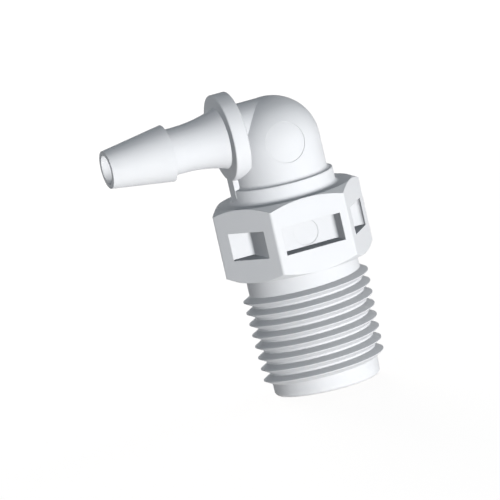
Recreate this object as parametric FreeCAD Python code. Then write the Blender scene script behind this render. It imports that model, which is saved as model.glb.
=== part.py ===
import FreeCAD, Part
import math
import os

from FreeCAD import Vector

# Barbed elbow fitting, moulded in one piece: a tapered pipe thread below, a hexagon for the
# spanner, a domed elbow and a single hose barb that leaves it at a right angle.
# Sizes are in millimetres and angles in degrees. The origin is the centre of the threaded end's
# face, Z runs up the axis of the thread, and the hose barb points towards -X.

# Pipe thread, 1/8-27 NPT, right-handed, whose diameter grows by 1 in 16 towards the hexagon
thread_pitch = 25.4 / 27
pitch_diameter_at_end = 9.233
thread_taper = 1 / 16
flank_angle = 60
thread_crest_flat = 0.06
thread_root_flat = 0.17
thread_first_height = 1.25
thread_turns = 8
thread_start_angle = 90
thread_fade_turns = 0.2
thread_end_round = 0.38
plain_length = 1.224

# Waterways
main_bore_diameter = 4.8
main_bore_chamfer = 0.25
barb_bore_diameter = 2.4

# Hexagon
across_flats = 11.11
hexagon_height = 6.15
hexagon_chamfer_angle = 30
hexagon_edge_round = 0.25

# Pockets in the hexagon, all drawn straight out towards the front and the back
pocket_foot_wall = 1.94
pocket_top_wall = 1.95
front_pocket_width = 5.1
front_pocket_floor_wall = 1.1
front_pocket_round = 0.3
pocket_rib = 1.24
side_pocket_corner_wall = 0.655
side_pocket_web = 1.1
side_pocket_round = 0.3

# Collar and elbow
collar_ledge = 0.42
collar_height = 1.25
collar_foot_round = 0.3
ledge_round = 0.25
dome_wall = 1.46
crown_wall = 1.1
neck_wall = 1.19

# Stop flange for the hose, and the rib that carries it
flange_diameter = 7.22
flange_thickness = 1.31
flange_stand_out = 0.4
flange_above_collar = 0.75
rib_thickness = 1.44
rim_round = 0.1

# Hose barb, for hose of 1/8 inch bore
stem_wall = 0.72
stem_straight = 1.0
flare_length = 3.68
flare_radius = 11.5
barb_step = 0.45
barb_length = 5.27
barb_tip_wall = 0.38

# Round ejector marks, sunk into the front and the back
ejector_mark_depth = 0.08
dome_mark_diameter = 3.3
dome_mark_below_barb_axis = 1.15
pocket_mark_margin = 0.075

# Radii that follow from the bores and their walls
main_bore_radius = main_bore_diameter / 2
barb_bore_radius = barb_bore_diameter / 2
dome_radius = main_bore_radius + dome_wall
collar_radius = dome_radius + collar_ledge
neck_radius = barb_bore_radius + neck_wall
stem_radius = barb_bore_radius + stem_wall
barb_radius = stem_radius + barb_step
barb_tip_radius = barb_bore_radius + barb_tip_wall
flange_radius = flange_diameter / 2
flat_radius = across_flats / 2
corner_radius = flat_radius / math.cos(math.radians(30))

# Heights up the thread's axis
thread_top = thread_first_height + thread_turns * thread_pitch
hexagon_foot = thread_top + plain_length
hexagon_top = hexagon_foot + hexagon_height
pocket_foot = hexagon_foot + pocket_foot_wall
pocket_height = hexagon_height - pocket_foot_wall - pocket_top_wall
collar_top = hexagon_top + collar_height
barb_axis = collar_top + flange_above_collar + flange_radius
crown_top = barb_axis + neck_radius
dome_centre = crown_top - dome_radius

# Places along the barb's axis
flange_front = -(dome_radius + flange_stand_out)
flange_back = flange_front + flange_thickness
flange_middle = (flange_front + flange_back) / 2
stem_start = flange_front - flare_length
barb_edge = stem_start - stem_straight
barb_tip = barb_edge - barb_length

# Depth of the front pocket's floor
front_pocket_floor = -(main_bore_radius + front_pocket_floor_wall)

ORIGIN = Vector(0, 0, 0)
UP = Vector(0, 0, 1)
TO_BACK = Vector(0, 1, 0)
TO_BARB = Vector(-1, 0, 0)
ELBOW = Vector(0, 0, barb_axis)

# Cutting solids reach this far past the faces that they open
overshoot = 1.0
# The thread ridge's foot lies inside the core by this share of the depth at which the feet of
# neighbouring turns would touch
ridge_foot_share = 0.7
points_per_turn = 16


def outline(corners):
    """A closed wire through corners, each one a point and the radius of its round, or 0."""
    trims = []
    for i, (corner, radius) in enumerate(corners):
        arrive, middle, leave = corner, corner, corner
        if radius:
            back = (corners[i - 1][0] - corner).normalize()
            onward = (corners[(i + 1) % len(corners)][0] - corner).normalize()
            half_angle = back.getAngle(onward) / 2
            reach = radius / math.tan(half_angle)
            arrive = corner + back * reach
            leave = corner + onward * reach
            middle = corner + (back + onward).normalize() * (radius / math.sin(half_angle) - radius)
        trims.append((arrive, middle, leave))
    edges = []
    for i, (arrive, middle, leave) in enumerate(trims):
        if corners[i][1]:
            edges.append(Part.Arc(arrive, middle, leave).toShape())
        edges.append(Part.makeLine(leave, trims[(i + 1) % len(trims)][0]))
    return Part.Wire(edges)


def turned_on_thread_axis(corners):
    """The solid turned about the thread's axis from corners of radius, height and round."""
    wire = outline([(Vector(radius, 0, height), rounding) for radius, height, rounding in corners])
    return Part.Face(wire).revolve(ORIGIN, UP, 360)


def turned_on_barb_axis(wire):
    return Part.Face(wire).revolve(ELBOW, TO_BARB, 360)


def beside_barb_axis(x, radius):
    """A point of an outline that is turned about the barb's axis."""
    return ELBOW + Vector(x, 0, radius)


def front_and_back(solids):
    """The solids at the front, and the same ones mirrored to the back."""
    return solids + [solid.mirror(ORIGIN, TO_BACK) for solid in solids]


def half_flank_tangent():
    return math.tan(math.radians(flank_angle / 2))


def flank_height(narrowing):
    """Height over which two flanks draw nearer to each other by this much."""
    return narrowing / 2 / half_flank_tangent()


def thread_height():
    return flank_height(thread_pitch - thread_crest_flat - thread_root_flat)


def root_radius(height):
    """Radius at the bottom of the thread groove, which grows with the taper.

    At the pitch diameter the groove is half a pitch wide.
    """
    groove_depth = flank_height(thread_pitch / 2 - thread_root_flat)
    return pitch_diameter_at_end / 2 - groove_depth + height * thread_taper / 2


def ridge_rise(turn):
    """Share of its full height that the ridge has: it rises out of the core and sinks back."""
    from_end = min(turn, thread_turns - turn)
    share = min(from_end / thread_fade_turns, 1)
    return math.sin(share * math.pi / 2)


def ridge_edge(is_crest, foot_depth, side):
    """One of the four long edges of the thread ridge, as a row of curves of about one turn each.

    The two edges of the foot lie foot_depth inside the core. side is the edge's height above the
    middle of the ridge.
    """
    steps = math.ceil(thread_turns * points_per_turn)
    turns = [thread_turns * step / steps for step in range(steps + 1)]
    points = []
    for turn in turns:
        height = thread_first_height + turn * thread_pitch
        radius = root_radius(height) - foot_depth
        if is_crest:
            sunk = foot_depth / 2
            radius += sunk + (foot_depth - sunk + thread_height()) * ridge_rise(turn)
        angle = math.radians(thread_start_angle + 360 * turn)
        points.append(Vector(radius * math.cos(angle), radius * math.sin(angle), height + side))
    whole = Part.BSplineCurve()
    whole.interpolate(Points=points, Parameters=turns)
    pieces = math.ceil(thread_turns)
    edges = []
    for i in range(pieces):
        piece = whole.copy()
        piece.segment(thread_turns * i / pieces, thread_turns * (i + 1) / pieces)
        edges.append(piece.toShape())
    return edges


def thread_ridge():
    """The helical ridge of the thread, as a closed solid whose foot lies inside the core."""
    foot_depth = ridge_foot_share * flank_height(thread_root_flat)
    crest_half = thread_crest_flat / 2
    foot_half = crest_half + (thread_height() + foot_depth) * half_flank_tangent()
    rows = [
        ridge_edge(False, foot_depth, -foot_half),
        ridge_edge(True, foot_depth, -crest_half),
        ridge_edge(True, foot_depth, crest_half),
        ridge_edge(False, foot_depth, foot_half),
    ]
    faces = []
    for row, next_row in zip(rows, rows[1:] + rows[:1]):
        faces += [Part.makeRuledSurface(*pair, 1) for pair in zip(row, next_row)]
    for end in (0, -1):
        corners = [row[end].Vertexes[end].Point for row in rows]
        faces.append(Part.Face(Part.makePolygon(corners + corners[:1])))
    shell = Part.makeShell(faces)
    shell.sewShape()
    ridge = Part.makeSolid(shell)
    if ridge.Volume < 0:
        ridge.reverse()
    return ridge


def threaded_end():
    """The round-edged core, tapered along the thread and plain up into the hexagon."""
    core_top = hexagon_foot + pocket_foot_wall / 2
    core = turned_on_thread_axis(
        [
            (0, 0, 0),
            (root_radius(0), 0, thread_end_round),
            (root_radius(thread_top), thread_top, 0),
            (root_radius(thread_top), core_top, 0),
            (0, core_top, 0),
        ]
    )
    return core.fuse(thread_ridge())


def hexagon_and_collar():
    """The chamfered hexagon with two corners on the X axis, and the collar on top of it.

    A hexagonal prism is cut to a turned form, which ends just above the round at the dome's foot.
    """
    angles = [math.radians(60 * i) for i in range(6)]
    corners = [Vector(math.cos(angle), math.sin(angle), 0) * corner_radius for angle in angles]
    section = Part.Face(outline([(corner, hexagon_edge_round) for corner in corners]))
    turned_top = collar_top + 2 * ledge_round
    prism = section.extrude(UP * (turned_top - hexagon_foot)).translated(UP * hexagon_foot)
    drop = (corner_radius - flat_radius) * math.tan(math.radians(hexagon_chamfer_angle))
    turned = turned_on_thread_axis(
        [
            (0, hexagon_foot, 0),
            (flat_radius, hexagon_foot, 0),
            (corner_radius, hexagon_foot + drop, 0),
            (corner_radius, hexagon_top - drop, 0),
            (flat_radius, hexagon_top, 0),
            (collar_radius, hexagon_top, collar_foot_round),
            (collar_radius, collar_top, rim_round),
            (dome_radius, collar_top, ledge_round),
            (dome_radius, turned_top, 0),
            (0, turned_top, 0),
        ]
    )
    return prism.common(turned)


def pocket_space(x_from, x_to, floor_y, corner_round):
    """A pocket's space, open towards the front, with a round where each side meets the floor."""
    mouth_y = -(flat_radius + overshoot)
    corners = [
        (Vector(x_from, mouth_y, pocket_foot), 0),
        (Vector(x_from, floor_y, pocket_foot), corner_round),
        (Vector(x_to, floor_y, pocket_foot), corner_round),
        (Vector(x_to, mouth_y, pocket_foot), 0),
    ]
    return Part.Face(outline(corners)).extrude(UP * pocket_height)


def pockets():
    """The six pockets: one at the front and one at the back, and two beside each of them."""
    half_front = front_pocket_width / 2
    side_from = half_front + pocket_rib
    side_to = corner_radius - side_pocket_corner_wall
    side_floor = -side_pocket_web / 2
    return front_and_back(
        [
            pocket_space(-half_front, half_front, front_pocket_floor, front_pocket_round),
            pocket_space(-side_to, -side_from, side_floor, side_pocket_round),
            pocket_space(side_from, side_to, side_floor, side_pocket_round),
        ]
    )


def pocket_marks():
    """Round ejector marks in the floors of the front and back pockets."""
    radius = pocket_height / 2 - pocket_mark_margin
    centre = Vector(0, front_pocket_floor - ejector_mark_depth, pocket_foot + pocket_height / 2)
    return front_and_back([Part.makeCylinder(radius, ejector_mark_depth * 2, centre, TO_BACK)])


def dome(shrink=0):
    """The elbow's upright barrel, closed by a half ball."""
    radius = dome_radius - shrink
    barrel = Part.makeCylinder(radius, dome_centre - hexagon_top, UP * hexagon_top, UP)
    ball = Part.makeSphere(radius, UP * dome_centre, UP, 0, 90, 360)
    return barrel.fuse(ball).removeSplitter()


def dome_marks():
    """Round ejector marks that follow the dome's surface at a constant depth."""
    centre = ELBOW - UP * dome_mark_below_barb_axis
    pin = Part.makeCylinder(dome_mark_diameter / 2, dome_radius + overshoot, centre, -TO_BACK)
    return front_and_back([pin.cut(dome(ejector_mark_depth))])


def neck():
    """The round tube between the dome and the stop flange."""
    return Part.makeCylinder(neck_radius, -flange_middle, ELBOW, TO_BARB)


def rib():
    """The upright rib that fills the space between the collar, the dome and the flange."""
    foot = collar_top - collar_height / 2
    corner = Vector(flange_front, -rib_thickness / 2, foot)
    return Part.makeBox(-flange_front, rib_thickness, barb_axis - foot, corner)


def stop_flange():
    return turned_on_barb_axis(
        outline(
            [
                (beside_barb_axis(flange_back, 0), 0),
                (beside_barb_axis(flange_back, flange_radius), rim_round),
                (beside_barb_axis(flange_front, flange_radius), rim_round),
                (beside_barb_axis(flange_front, 0), 0),
            ]
        )
    )


def flare_point(run):
    """The point where the stem has flared for this run towards the flange."""
    rise = flare_radius - math.sqrt(flare_radius ** 2 - run ** 2)
    return beside_barb_axis(stem_start + run, stem_radius + rise)


def hose_barb():
    """The flared stem and the barb, from inside the flange to the tip."""
    flare_end = flare_point(flare_length)
    corners = [
        flare_point(0),
        beside_barb_axis(barb_edge, stem_radius),
        beside_barb_axis(barb_edge, barb_radius),
        beside_barb_axis(barb_tip, barb_tip_radius),
        beside_barb_axis(barb_tip, 0),
        beside_barb_axis(flange_middle, 0),
        flare_end + Vector(flange_middle - flange_front, 0, 0),
        flare_end,
    ]
    flare = Part.Arc(flare_end, flare_point(flare_length / 2), flare_point(0)).toShape()
    return turned_on_barb_axis(Part.Wire([Part.makePolygon(corners), flare]))


def waterways():
    """The two cored bores, which meet in the elbow."""
    ball_centre = crown_top - crown_wall - main_bore_radius
    foot = -UP * overshoot
    shaft = Part.makeCylinder(main_bore_radius, ball_centre + overshoot, foot, UP)
    ball = Part.makeSphere(main_bore_radius, UP * ball_centre, UP, 0, 90, 360)
    mouth_depth = main_bore_chamfer + overshoot
    mouth = Part.makeCone(main_bore_radius + mouth_depth, main_bore_radius, mouth_depth, foot, UP)
    hose_side = Part.makeCylinder(barb_bore_radius, overshoot - barb_tip, ELBOW, TO_BARB)
    return shaft.fuse([ball, mouth, hose_side])


def elbow_fitting():
    upper = hexagon_and_collar()
    upper = upper.fuse([dome(), neck(), rib(), stop_flange(), hose_barb()])
    upper = upper.cut(pockets() + pocket_marks() + dome_marks())
    return upper.fuse(threaded_end()).cut(waterways()).removeSplitter()


def main():
    os.makedirs("parts", exist_ok=True)
    fitting = elbow_fitting()
    if len(fitting.Solids) != 1 or not fitting.isValid():
        raise RuntimeError("The fitting isn't one valid solid")
    fitting.Solids[0].exportStep("parts/elbow_fitting.step")
    box = fitting.optimalBoundingBox()
    print(f"elbow_fitting: {box.XLength:.2f} x {box.YLength:.2f} x {box.ZLength:.2f} mm")
    print(f"volume {fitting.Volume:.1f} mm3, barb axis {barb_axis:.2f} mm above the end face")


main()
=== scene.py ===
import math

import bmesh
import bpy
from mathutils import Matrix, Vector

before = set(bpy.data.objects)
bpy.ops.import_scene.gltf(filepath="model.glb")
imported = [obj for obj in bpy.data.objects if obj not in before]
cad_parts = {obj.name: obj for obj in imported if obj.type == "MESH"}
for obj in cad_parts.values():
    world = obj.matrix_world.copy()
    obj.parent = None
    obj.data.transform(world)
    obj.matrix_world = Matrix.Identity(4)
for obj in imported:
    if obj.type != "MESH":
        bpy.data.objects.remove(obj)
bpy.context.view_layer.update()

bl_info = {
    "name": "Barbed elbow fitting",
    "version": (1, 0, 0),
    "blender": (4, 5, 0),
    "location": "3D View > Sidebar > Fitting",
    "description": "Plastic, floor, lights and camera for a pipe-thread elbow with a hose barb",
    "category": "Object",
}

# The fitting is one moulding, so it is one node of the frame. Lengths are in metres.
FITTING_NODE = "elbow_fitting"
MM = 0.001
# The picture is square, this many pixels on each side
PICTURE_PIXELS = 500
# Height of the hose barb's axis, where it crosses the thread's axis in the elbow
ELBOW_HEIGHT = 21.76 * MM
# Where each lamp stands, as the fitting sees it: its turn from the front, away from the hose barb,
# and its rise, both in degrees. The settings of the stage give each lamp's light.
SOFTBOXES = {"side_softbox": (100, 1), "back_softbox": (175, 1)}
FILLS = {"front_fill": (-12, 0), "low_fill": (13, -30), "right_fill": (50, -5)}
# What the camera takes in, from its nearest distance to its farthest
CAMERA_REACH = (1 * MM, 10)
WHITE = (1, 1, 1, 1)
# Finer layers in the noise of the plastic's clouds and of its skin
FLOW_DETAIL = 2
SKIN_DETAIL = 1
# Rays that look for an edge near a point, to round it
EDGE_SAMPLES = 6
# Socket numbers of a node that mixes colours, because several of its sockets share a name
MIX_SHARE = 0
MIX_FIRST = 6
MIX_SECOND = 7
MIXED = 2


def linear(hex_colour):
    """Linear red, green and blue of an sRGB hex colour."""
    channels = [int(hex_colour[i : i + 2], 16) / 255 for i in (1, 3, 5)]
    return [c / 12.92 if c <= 0.04045 else ((c + 0.055) / 1.055) ** 2.4 for c in channels]


class PlasticSettings(bpy.types.PropertyGroup):
    """The plastic and the skin that its mould leaves"""

    body_colour: bpy.props.FloatVectorProperty(
        name="Body colour",
        description="Colour of the plastic",
        subtype="COLOR",
        size=3,
        min=0,
        max=1,
        default=linear("#F4F5F7"),
    )
    flow_colour: bpy.props.FloatVectorProperty(
        name="Flow colour",
        description="Colour of the faint clouds where the plastic flowed together",
        subtype="COLOR",
        size=3,
        min=0,
        max=1,
        default=linear("#EEF0F3"),
    )
    flow_size: bpy.props.FloatProperty(
        name="Flow size",
        description="Distance between the faint clouds",
        unit="LENGTH",
        default=4 * MM,
    )
    refraction: bpy.props.FloatProperty(
        name="Refraction",
        description="Index of refraction",
        default=1.49,
        min=1,
    )
    roughness: bpy.props.FloatProperty(
        name="Roughness",
        description="Roughness of the skin, midway between its glossiest and its dullest clouds",
        default=0.62,
        min=0,
        max=1,
    )
    roughness_spread: bpy.props.FloatProperty(
        name="Roughness spread",
        description="How far the clouds' roughness lies from the middle one",
        default=0.04,
        min=0,
    )
    haze: bpy.props.FloatProperty(
        name="Haze",
        description="Share of the light that enters the plastic and leaves it near by",
        default=0.15,
        min=0,
        max=1,
    )
    haze_reach: bpy.props.FloatProperty(
        name="Haze reach",
        description="How far light travels inside the plastic",
        unit="LENGTH",
        default=0.2 * MM,
    )
    skin_pitch: bpy.props.FloatProperty(
        name="Skin pitch",
        description="Distance between the swells of the moulded skin",
        unit="LENGTH",
        default=0.5 * MM,
    )
    skin_depth: bpy.props.FloatProperty(
        name="Skin depth",
        description="Depth of the swells of the moulded skin",
        unit="LENGTH",
        default=0.0015 * MM,
    )
    edge_round: bpy.props.FloatProperty(
        name="Edge round",
        description="Radius that the mould leaves on every sharp edge",
        unit="LENGTH",
        default=0.05 * MM,
    )
    parting_width: bpy.props.FloatProperty(
        name="Parting line width",
        description="Width of the line where the two halves of the mould met",
        unit="LENGTH",
        default=0.06 * MM,
    )
    parting_height: bpy.props.FloatProperty(
        name="Parting line height",
        description="Height of the line where the two halves of the mould met",
        unit="LENGTH",
        default=0.01 * MM,
    )


class CameraSettings(bpy.types.PropertyGroup):
    """The camera's place and the frame of its picture"""

    azimuth: bpy.props.FloatProperty(
        name="Azimuth",
        description="Turn of the camera round the thread's axis, towards the hose barb if negative",
        subtype="ANGLE",
        default=math.radians(-16.35),
    )
    elevation: bpy.props.FloatProperty(
        name="Elevation",
        description="Height of the camera above the horizon",
        subtype="ANGLE",
        default=math.radians(9.0),
    )
    roll: bpy.props.FloatProperty(
        name="Roll",
        description="Lean of the thread's axis to the left in the picture",
        subtype="ANGLE",
        default=math.radians(12.9),
    )
    picture_width: bpy.props.FloatProperty(
        name="Picture width",
        description="Length that fits across the picture",
        unit="LENGTH",
        default=40.5 * MM,
    )
    elbow_pixel: bpy.props.FloatVectorProperty(
        name="Elbow pixel",
        description="Pixel of the picture, from its left and its top, where the two bores' axes cross",
        size=2,
        default=(268.9, 125.0),
    )
    distance: bpy.props.FloatProperty(
        name="Distance",
        description="Distance from the camera to the fitting",
        unit="LENGTH",
        default=0.3,
    )


def lamp_light(name, amount):
    """The setting for one lamp's light."""
    return bpy.props.FloatProperty(
        name=name,
        description="Its light on a surface that faces it, where 1 shows a colour as it is",
        default=amount,
        min=0,
    )


class StageSettings(bpy.types.PropertyGroup):
    """The floor, the room and the lamps"""

    floor_size: bpy.props.FloatProperty(
        name="Floor size",
        description="Side of the square floor",
        unit="LENGTH",
        default=4.0,
    )
    floor_colour: bpy.props.FloatVectorProperty(
        name="Floor colour",
        description="Colour of the floor's paper",
        subtype="COLOR",
        size=3,
        min=0,
        max=1,
        default=linear("#EEE3DA"),
    )
    floor_glow: bpy.props.FloatProperty(
        name="Floor glow",
        description="Light added to the floor where it is seen, so that it looks white",
        default=0.85,
        min=0,
        max=1,
    )
    room_light: bpy.props.FloatProperty(
        name="Room light",
        description="Even light from all round",
        default=0.17,
        min=0,
    )
    room_colour: bpy.props.FloatVectorProperty(
        name="Room colour",
        description="Colour of the even light from all round",
        subtype="COLOR",
        size=3,
        min=0,
        max=1,
        default=linear("#E6F3FF"),
    )
    front_fill: lamp_light("Front fill", 0.42)
    low_fill: lamp_light("Low fill", 0.49)
    right_fill: lamp_light("Right fill", 0.22)
    side_softbox: lamp_light("Side softbox", 0.14)
    back_softbox: lamp_light("Back softbox", 0.75)
    lamp_size: bpy.props.FloatVectorProperty(
        name="Lamp size",
        description="Width and height of each lamp",
        unit="LENGTH",
        size=2,
        default=(0.12, 0.03),
    )
    lamp_distance: bpy.props.FloatProperty(
        name="Lamp distance",
        description="Distance from the fitting to each lamp",
        unit="LENGTH",
        default=0.4,
    )


def add_node(tree, kind, settings=None, links=None):
    """Add a node, with settings for its properties and sockets and links into its sockets.

    A setting that isn't one of the node's properties names a socket. A link gives, for a
    socket, the node that it comes from and the name of that node's output.
    """
    node = tree.nodes.new(kind)
    for name, value in (settings or {}).items():
        if hasattr(node, str(name)):
            setattr(node, name, value)
        else:
            node.inputs[name].default_value = value
    for name, (source, output) in (links or {}).items():
        tree.links.new(source.outputs[output], node.inputs[name])
    return node


def new_material(name):
    """An empty node material."""
    material = bpy.data.materials.new(name)
    material.use_nodes = True
    material.node_tree.nodes.clear()
    return material


def white_polypropylene(plastic):
    """White polypropylene, injection moulded in a finely blasted steel mould.

    The eye sees a matt, almost even white, a trace of sheen at glancing angles, soft edges, and
    the parting line between the two bores. The blasted grain is finer than a pixel, so the skin
    is drawn coarser than it is, and shallow.
    """
    material = new_material("white_polypropylene")
    tree = material.node_tree
    place = add_node(tree, "ShaderNodeTexCoord")
    flow = add_node(
        tree,
        "ShaderNodeTexNoise",
        {"Scale": 1 / plastic.flow_size, "Detail": FLOW_DETAIL},
        {"Vector": (place, "Object")},
    )
    colour = add_node(
        tree,
        "ShaderNodeMix",
        {
            "data_type": "RGBA",
            MIX_FIRST: (*plastic.body_colour, 1),
            MIX_SECOND: (*plastic.flow_colour, 1),
        },
        {MIX_SHARE: (flow, "Fac")},
    )
    skin = add_node(
        tree,
        "ShaderNodeTexNoise",
        {"Scale": 1 / plastic.skin_pitch, "Detail": SKIN_DETAIL},
        {"Vector": (place, "Object")},
    )
    rounded = add_node(
        tree,
        "ShaderNodeBevel",
        {"samples": EDGE_SAMPLES, "Radius": plastic.edge_round},
    )
    peel = add_node(
        tree,
        "ShaderNodeBump",
        {"Distance": plastic.skin_depth},
        {"Height": (skin, "Fac"), "Normal": (rounded, "Normal")},
    )
    across = add_node(tree, "ShaderNodeSeparateXYZ", {}, {"Vector": (place, "Object")})
    from_parting = add_node(tree, "ShaderNodeMath", {"operation": "ABSOLUTE"}, {0: (across, "Y")})
    parting = add_node(
        tree,
        "ShaderNodeMapRange",
        {
            "interpolation_type": "SMOOTHSTEP",
            "From Max": plastic.parting_width / 2,
            "To Min": 1.0,
            "To Max": 0.0,
        },
        {"Value": (from_parting, "Value")},
    )
    line = add_node(
        tree,
        "ShaderNodeBump",
        {"Distance": plastic.parting_height},
        {"Height": (parting, "Result"), "Normal": (peel, "Normal")},
    )
    shine = add_node(
        tree,
        "ShaderNodeMapRange",
        {
            "To Min": plastic.roughness - plastic.roughness_spread,
            "To Max": plastic.roughness + plastic.roughness_spread,
        },
        {"Value": (flow, "Fac")},
    )
    surface = add_node(
        tree,
        "ShaderNodeBsdfPrincipled",
        {
            "IOR": plastic.refraction,
            "Subsurface Weight": plastic.haze,
            "Subsurface Radius": (1.0, 1.0, 1.0),
            "Subsurface Scale": plastic.haze_reach,
        },
        {
            "Base Color": (colour, MIXED),
            "Roughness": (shine, "Result"),
            "Normal": (line, "Normal"),
        },
    )
    add_node(tree, "ShaderNodeOutputMaterial", {}, {"Surface": (surface, "BSDF")})
    return material


def seen_rays(tree):
    """1 for what the camera sees, also in a reflection or through something clear, else 0."""
    path = add_node(tree, "ShaderNodeLightPath")
    mirrored = add_node(
        tree,
        "ShaderNodeMath",
        {"operation": "MAXIMUM"},
        {0: (path, "Is Glossy Ray"), 1: (path, "Is Transmission Ray")},
    )
    return add_node(
        tree,
        "ShaderNodeMath",
        {"operation": "MAXIMUM"},
        {0: (path, "Is Camera Ray"), 1: (mirrored, "Value")},
    )


def floor_paper(stage):
    """Uncoated warm white paper, which the cool room light turns plain white.

    It looks matt and keeps the fitting's soft shadow.
    """
    material = new_material("floor_paper")
    tree = material.node_tree
    paper = add_node(tree, "ShaderNodeBsdfDiffuse", {"Color": (*stage.floor_colour, 1)})
    seen = seen_rays(tree)
    glow = add_node(
        tree,
        "ShaderNodeMath",
        {"operation": "MULTIPLY", 1: stage.floor_glow},
        {0: (seen, "Value")},
    )
    light = add_node(tree, "ShaderNodeEmission", {}, {"Strength": (glow, "Value")})
    both = add_node(tree, "ShaderNodeAddShader", {}, {0: (paper, "BSDF"), 1: (light, "Emission")})
    add_node(tree, "ShaderNodeOutputMaterial", {}, {"Surface": (both, "Shader")})
    return material


def add_floor(stage):
    """A plain square of paper under the threaded end."""
    mesh = bpy.data.meshes.new("floor")
    shape = bmesh.new()
    bmesh.ops.create_grid(shape, x_segments=1, y_segments=1, size=stage.floor_size / 2)
    shape.to_mesh(mesh)
    shape.free()
    mesh.materials.append(floor_paper(stage))
    floor = bpy.data.objects.new("floor", mesh)
    bpy.context.scene.collection.objects.link(floor)


def light_room(stage):
    """A world that lights evenly and looks white."""
    world = bpy.data.worlds.new("studio")
    world.use_nodes = True
    tree = world.node_tree
    tree.nodes.clear()
    seen = seen_rays(tree)
    strength = add_node(
        tree,
        "ShaderNodeMapRange",
        {"To Min": stage.room_light, "To Max": 1.0},
        {"Value": (seen, "Value")},
    )
    colour = add_node(
        tree,
        "ShaderNodeMix",
        {"data_type": "RGBA", MIX_FIRST: (*stage.room_colour, 1), MIX_SECOND: WHITE},
        {MIX_SHARE: (seen, "Value")},
    )
    background = add_node(
        tree,
        "ShaderNodeBackground",
        {},
        {"Color": (colour, MIXED), "Strength": (strength, "Result")},
    )
    add_node(tree, "ShaderNodeOutputWorld", {}, {"Surface": (background, "Background")})
    bpy.context.scene.world = world


def direction(azimuth, elevation):
    """Unit vector from the fitting, for a turn away from the hose barb and a rise, in radians."""
    level = math.cos(elevation)
    return Vector((math.sin(azimuth) * level, -math.cos(azimuth) * level, math.sin(elevation)))


def add_lamp(stage, name, azimuth, elevation):
    """A flat lamp that faces the middle of the fitting, with its angles in degrees.

    The plastic doesn't mirror it, so that no glare covers a flat, and nothing passes its light
    on, so that what faces away from it stays dark.
    """
    lamp = bpy.data.lights.new(name, "AREA")
    lamp.shape = "RECTANGLE"
    lamp.size, lamp.size_y = stage.lamp_size
    lamp.energy = getattr(stage, name) * (math.pi * stage.lamp_distance) ** 2
    lamp.cycles.max_bounces = 0
    holder = bpy.data.objects.new(name, lamp)
    towards = direction(math.radians(azimuth), math.radians(elevation))
    middle = Vector((0, 0, ELBOW_HEIGHT / 2))
    holder.location = middle + towards * stage.lamp_distance
    holder.rotation_euler = towards.to_track_quat("Z", "Y").to_euler()
    holder.visible_camera = False
    holder.visible_glossy = False
    bpy.context.scene.collection.objects.link(holder)
    return lamp


def add_fill(stage, name, azimuth, elevation):
    """A lamp that only fills: it casts no shadow."""
    lamp = add_lamp(stage, name, azimuth, elevation)
    lamp.use_shadow = False


def camera_axes(view):
    """The camera's right, up and backward directions."""
    right = direction(view.azimuth + math.pi / 2, 0)
    back = direction(view.azimuth, view.elevation)
    axes = Matrix((right, back.cross(right), back)).transposed()
    return axes @ Matrix.Rotation(-view.roll, 3, "Z")


def add_camera(view):
    """An orthographic camera with the elbow at its own pixel of the picture."""
    axes = camera_axes(view)
    pixel = view.picture_width / PICTURE_PIXELS
    half = PICTURE_PIXELS / 2
    to_middle = Vector((half - view.elbow_pixel[0], view.elbow_pixel[1] - half, 0)) * pixel
    middle = Vector((0, 0, ELBOW_HEIGHT)) + axes @ to_middle
    lens = bpy.data.cameras.new("picture_camera")
    lens.type = "ORTHO"
    lens.ortho_scale = view.picture_width
    lens.clip_start, lens.clip_end = CAMERA_REACH
    camera = bpy.data.objects.new("picture_camera", lens)
    camera.matrix_world = Matrix.Translation(middle + axes.col[2] * view.distance) @ axes.to_4x4()
    bpy.context.scene.collection.objects.link(camera)
    bpy.context.scene.camera = camera


class FITTING_OT_mould(bpy.types.Operator):
    """Give the fitting its moulded plastic"""

    bl_idname = "fitting.mould"
    bl_label = "Mould the fitting"

    def execute(self, context):
        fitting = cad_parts[FITTING_NODE]
        if not fitting.material_slots:
            raise RuntimeError("The fitting has no material slot")
        plastic = white_polypropylene(context.scene.fitting_plastic)
        for slot in fitting.material_slots:
            slot.material = plastic
        return {"FINISHED"}


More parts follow.
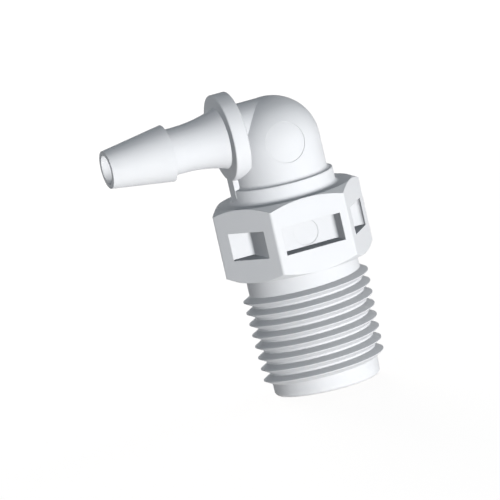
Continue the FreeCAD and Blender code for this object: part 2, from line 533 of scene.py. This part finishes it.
class FITTING_OT_stage(bpy.types.Operator):
    """Build the floor, the lights and the camera"""

    bl_idname = "fitting.stage"
    bl_label = "Build the stage"

    def execute(self, context):
        scene = context.scene
        stage = scene.fitting_stage
        scene.view_settings.view_transform = "Standard"
        add_floor(stage)
        light_room(stage)
        for name, (azimuth, elevation) in SOFTBOXES.items():
            add_lamp(stage, name, azimuth, elevation)
        for name, (azimuth, elevation) in FILLS.items():
            add_fill(stage, name, azimuth, elevation)
        add_camera(scene.fitting_camera)
        return {"FINISHED"}


class FITTING_PT_panel(bpy.types.Panel):
    """Sizes and colours of the fitting's picture"""

    bl_idname = "FITTING_PT_panel"
    bl_label = "Barbed elbow fitting"
    bl_space_type = "VIEW_3D"
    bl_region_type = "UI"
    bl_category = "Fitting"

    def draw(self, context):
        scene = context.scene
        steps = (
            (FITTING_OT_mould, (scene.fitting_plastic,)),
            (FITTING_OT_stage, (scene.fitting_stage, scene.fitting_camera)),
        )
        for operator, groups in steps:
            box = self.layout.box()
            for settings in groups:
                for name in settings.bl_rna.properties.keys():
                    if name not in ("rna_type", "name"):
                        box.prop(settings, name)
            box.operator(operator.bl_idname)


CLASSES = (
    PlasticSettings,
    StageSettings,
    CameraSettings,
    FITTING_OT_mould,
    FITTING_OT_stage,
    FITTING_PT_panel,
)


def register():
    """Make the settings, the operators and the panel known to Blender."""
    for one_class in CLASSES:
        bpy.utils.register_class(one_class)
    bpy.types.Scene.fitting_plastic = bpy.props.PointerProperty(type=PlasticSettings)
    bpy.types.Scene.fitting_stage = bpy.props.PointerProperty(type=StageSettings)
    bpy.types.Scene.fitting_camera = bpy.props.PointerProperty(type=CameraSettings)


def unregister():
    """Take back what register made known, the other way round."""
    del bpy.types.Scene.fitting_camera
    del bpy.types.Scene.fitting_stage
    del bpy.types.Scene.fitting_plastic
    for one_class in reversed(CLASSES):
        bpy.utils.unregister_class(one_class)


def main():
    """Make the fitting's picture."""
    register()
    bpy.ops.fitting.mould()
    bpy.ops.fitting.stage()


if __name__ == "__main__":
    main()
